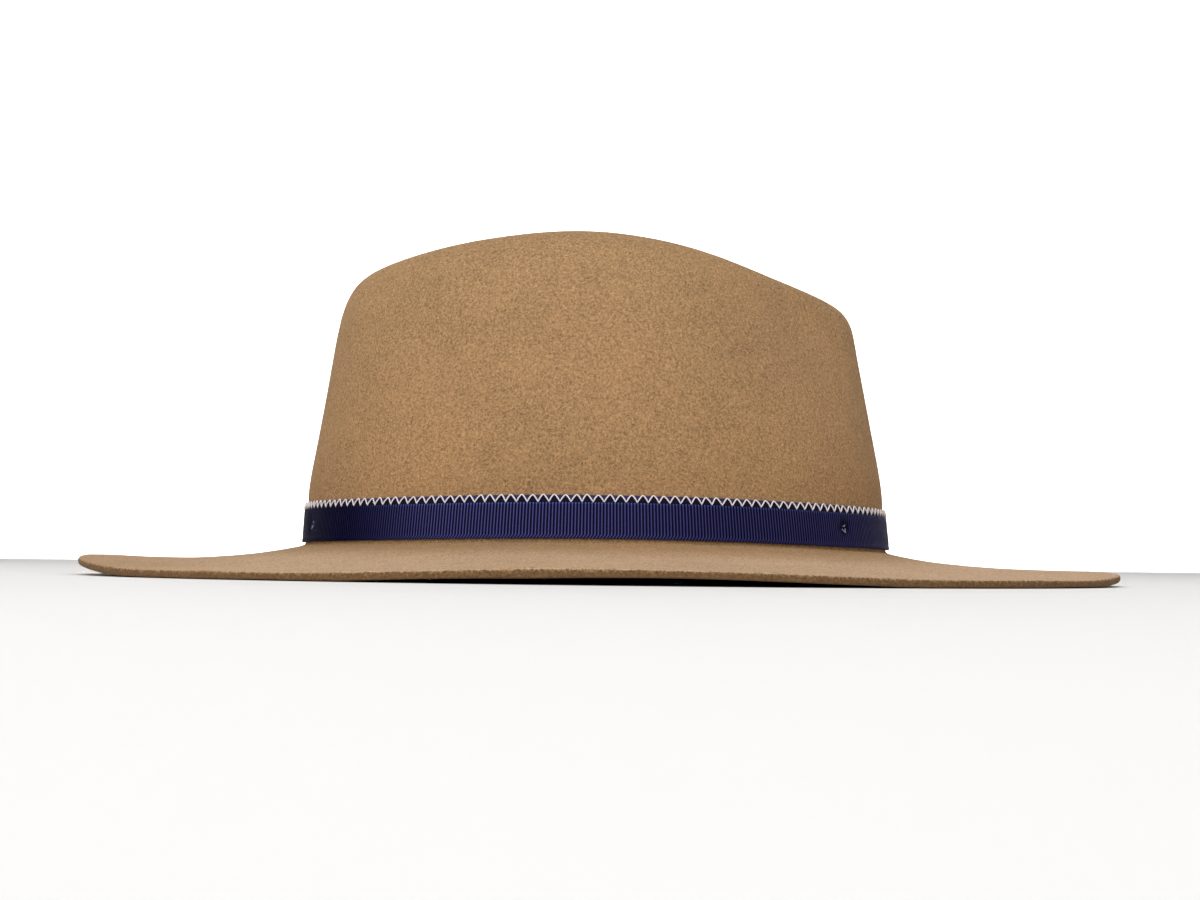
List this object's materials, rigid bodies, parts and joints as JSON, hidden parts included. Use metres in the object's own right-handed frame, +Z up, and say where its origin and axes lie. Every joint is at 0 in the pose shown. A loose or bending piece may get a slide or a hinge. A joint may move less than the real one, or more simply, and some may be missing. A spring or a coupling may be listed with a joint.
{
  "type": "felt hat",
  "caption": "Wide-brimmed felt hat with a teardrop crown, pinched front, navy grosgrain ribbon and white zigzag trim.",
  "frame": {"origin": "on the surface that the hat rests on, under the middle of the brim", "axes": "+X to the front of the hat, +Y to its wearer's left, +Z up"},
  "size_m": [0.3635, 0.3342, 0.1172],
  "materials": {
    "felt": "brushed camel felt",
    "under_ribbon": "violet blue woven ribbon",
    "top_ribbon": "navy grosgrain, soft sheen"
  },
  "bodies": {
    "root": {"felt_body": "felt", "under_ribbon": "under_ribbon", "top_ribbon": "top_ribbon"}
  },
  "joints": []
}
